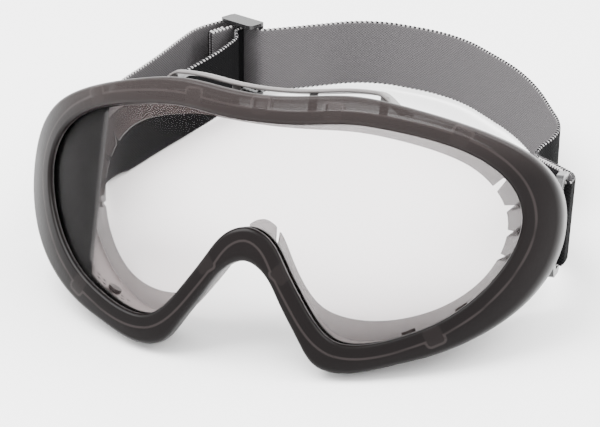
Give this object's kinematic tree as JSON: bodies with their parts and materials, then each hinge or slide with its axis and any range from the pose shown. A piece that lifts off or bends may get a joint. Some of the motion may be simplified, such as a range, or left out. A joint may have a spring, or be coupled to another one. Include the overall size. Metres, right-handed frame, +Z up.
{
  "type": "safety goggles",
  "caption": "Wrap-round safety goggles: clear cylindrical lens in a soft smoky frame with hooded vents, swivel clips and an adjustable elastic headband.",
  "frame": {"origin": "under the middle of the whole object's box, on the surface it stands on", "axes": "+Z up, +Y from the lens back to the headband, +X to the right as seen from in front"},
  "size_m": [0.1852, 0.2542, 0.0783],
  "materials": {
    "frame_rubber": "soft smoky translucent moulding, satin gloss",
    "lens": "clear polished polycarbonate",
    "vent_cover": "pale grey translucent plastic",
    "vent_cover_dark": "dark smoky plastic",
    "black_plastic": "black moulded plastic, satin",
    "webbing": "elastic knit webbing, black outside and grey inside, with zigzag edges",
    "thread": "black sewing thread"
  },
  "bodies": {
    "goggles": {"frame_body": "frame_rubber", "lens": "lens", "upper_vent_cover": "vent_cover", "lower_vent_cover_left": "vent_cover_dark", "lower_vent_cover_right": "vent_cover_dark", "pivot_cap_left": "black_plastic", "pivot_cap_right": "black_plastic"},
    "headband": {"strap_clip_left": "black_plastic", "headband_strap": "webbing", "strap_inner_layer": "webbing", "strap_end_hem": "webbing", "clip_seam_stitching": "thread", "hem_stitching": "thread"},
    "right_clip": {"strap_clip_right": "black_plastic"},
    "adjuster": {"strap_adjuster": "black_plastic"}
  },
  "joints": [
    {"name": "left_clip_pivot", "type": "hinge", "parent": "goggles", "child": "headband", "pos_m": [0, -0.06455, 0.02881], "axis": [1, 0, 0], "range_deg": [-35, 40]},
    {"name": "right_clip_pivot", "type": "hinge", "parent": "goggles", "child": "right_clip", "pos_m": [0, -0.06455, 0.02881], "axis": [1, 0, 0], "range_deg": [-35, 40]},
    {"name": "adjuster_slide", "type": "slide", "parent": "headband", "child": "adjuster", "axis": [-0.8944, 0.4472, 0], "range_m": [0, 0.006], "deforming": ["strap_inner_layer", "strap_end_hem", "hem_stitching"]}
  ],
  "couplings": [
    {"joint": "right_clip_pivot", "follows": "left_clip_pivot", "ratio": 1}
  ]
}
